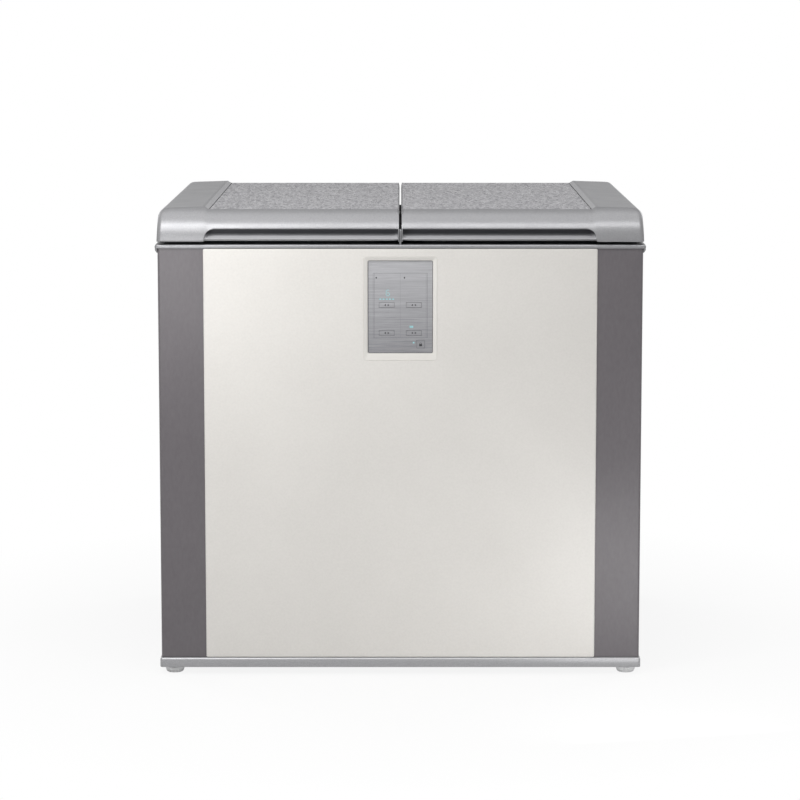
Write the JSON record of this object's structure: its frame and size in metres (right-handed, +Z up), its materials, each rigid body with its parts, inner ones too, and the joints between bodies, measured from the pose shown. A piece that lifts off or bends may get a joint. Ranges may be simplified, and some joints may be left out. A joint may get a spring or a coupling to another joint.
{
  "type": "kimchi refrigerator",
  "caption": "Low chest-type kimchi refrigerator with paired top lids, finger pockets, a front control panel, levelling feet and rear rollers.",
  "frame": {"origin": "on the floor, under the centre of the footprint (lid noses to wall spacers)", "axes": "+Z up, front faces -Y, +X to the viewer's right along the width"},
  "size_m": [0.925, 0.786, 0.894],
  "materials": {
    "taupe_case": "pre-coated steel sheet, satin",
    "cream_panel": "pearl cream coated steel sheet, satin",
    "cream_plastic": "moulded ABS in the panel's cream",
    "silver_plastic": "moulded ABS, silver metallic paint",
    "speckled_inlay": "clear sheet over a fine silver speckle",
    "brushed_plate": "hairline-brushed and anodised",
    "display_cyan": "light pipes, pale cyan",
    "dark_plastic": "moulded ABS, fine texture",
    "white_plastic": "white ABS and HIPS sheet",
    "grey_foot": "light grey nylon",
    "rubber": "matt",
    "zinc_steel": "galvanised sheet",
    "pin_steel": "bright",
    "compressor_black": "black enamel",
    "copper": "drawn copper tube",
    "circuit_board": "glass-fibre laminate",
    "foam": "rigid polyurethane foam"
  },
  "bodies": {
    "cabinet": {"side_case_left": "taupe_case", "side_case_right": "taupe_case", "front_panel": "cream_panel", "rear_panel": "zinc_steel", "base_frame": "zinc_steel", "base_trim": "silver_plastic", "deck_frame": "silver_plastic", "deck_collar": "dark_plastic", "room_liner_left": "white_plastic", "room_liner_right": "white_plastic", "foam_body": "foam", "evaporators": "copper", "compartment_wall": "zinc_steel", "machine_cover": "zinc_steel", "control_bezel": "cream_plastic", "control_fascia": "brushed_plate", "display_lights": "display_cyan", "control_housing": "dark_plastic", "control_board": "circuit_board", "compressor": "compressor_black", "compressor_mounts": "rubber", "condenser": "zinc_steel", "fan_bracket": "dark_plastic", "fan_motor": "zinc_steel", "filter_drier": "copper", "switching_valve": "pin_steel", "copper_pipes": "copper", "power_box": "white_plastic", "cord_gland": "rubber", "wall_spacers": "dark_plastic", "case_screws": "pin_steel", "hinge_brackets": "zinc_steel", "hinge_cartridges": "dark_plastic", "hinge_pins": "pin_steel", "roller_brackets": "zinc_steel", "roller_axles": "pin_steel"},
    "key_upper_left": {"key_upper_left": "brushed_plate"},
    "key_upper_right": {"key_upper_right": "brushed_plate"},
    "key_lower_left": {"key_lower_left": "brushed_plate"},
    "key_lower_right": {"key_lower_right": "brushed_plate"},
    "key_lock": {"key_lock": "brushed_plate"},
    "fan_rotor": {"fan_rotor": "white_plastic"},
    "roller_left": {"roller_left": "dark_plastic"},
    "roller_right": {"roller_right": "dark_plastic"},
    "foot_left": {"foot_left": "grey_foot"},
    "foot_right": {"foot_right": "grey_foot"},
    "lid_left": {"lid_shell_left": "silver_plastic", "lid_inlay_left": "speckled_inlay", "lid_grip_left": "silver_plastic", "lid_liner_left": "white_plastic", "lid_foam_left": "foam", "lid_seal_left": "rubber", "lid_hinge_arms_left": "zinc_steel"},
    "lid_right": {"lid_shell_right": "silver_plastic", "lid_inlay_right": "speckled_inlay", "lid_grip_right": "silver_plastic", "lid_liner_right": "white_plastic", "lid_foam_right": "foam", "lid_seal_right": "rubber", "lid_hinge_arms_right": "zinc_steel"}
  },
  "joints": [
    {"name": "lid_left_hinge", "type": "hinge", "parent": "cabinet", "child": "lid_left", "pos_m": [-0.23, 0.362, 0.838], "axis": [-1, 0, 0], "range_deg": [0, 80], "stiffness_Nm_per_rad": 8, "springref_deg": 85.94},
    {"name": "lid_right_hinge", "type": "hinge", "parent": "cabinet", "child": "lid_right", "pos_m": [0.23, 0.362, 0.838], "axis": [-1, 0, 0], "range_deg": [0, 80], "stiffness_Nm_per_rad": 8, "springref_deg": 85.94},
    {"name": "key_upper_left_press", "type": "slide", "parent": "cabinet", "child": "key_upper_left", "axis": [0, 1, 0], "range_m": [0, 0.0006], "stiffness_N_per_m": 800, "springref_m": -0.0004},
    {"name": "key_upper_right_press", "type": "slide", "parent": "cabinet", "child": "key_upper_right", "axis": [0, 1, 0], "range_m": [0, 0.0006], "stiffness_N_per_m": 800, "springref_m": -0.0004},
    {"name": "key_lower_left_press", "type": "slide", "parent": "cabinet", "child": "key_lower_left", "axis": [0, 1, 0], "range_m": [0, 0.0006], "stiffness_N_per_m": 800, "springref_m": -0.0004},
    {"name": "key_lower_right_press", "type": "slide", "parent": "cabinet", "child": "key_lower_right", "axis": [0, 1, 0], "range_m": [0, 0.0006], "stiffness_N_per_m": 800, "springref_m": -0.0004},
    {"name": "key_lock_press", "type": "slide", "parent": "cabinet", "child": "key_lock", "axis": [0, 1, 0], "range_m": [0, 0.0006], "stiffness_N_per_m": 800, "springref_m": -0.0004},
    {"name": "fan_spin", "type": "hinge", "parent": "cabinet", "child": "fan_rotor", "pos_m": [-0.108, 0.214, 0.1205], "axis": [1, 0, 0], "continuous": true},
    {"name": "roller_left_spin", "type": "hinge", "parent": "cabinet", "child": "roller_left", "pos_m": [-0.395, 0.295, 0.014], "axis": [1, 0, 0], "continuous": true},
    {"name": "roller_right_spin", "type": "hinge", "parent": "cabinet", "child": "roller_right", "pos_m": [0.395, 0.295, 0.014], "axis": [1, 0, 0], "continuous": true},
    {"name": "foot_left_screw", "type": "hinge", "parent": "cabinet", "child": "foot_left", "pos_m": [-0.4335, -0.364, 0.01], "axis": [0, 0, 1], "continuous": true},
    {"name": "foot_right_screw", "type": "hinge", "parent": "cabinet", "child": "foot_right", "pos_m": [0.4335, -0.364, 0.01], "axis": [0, 0, 1], "continuous": true}
  ]
}
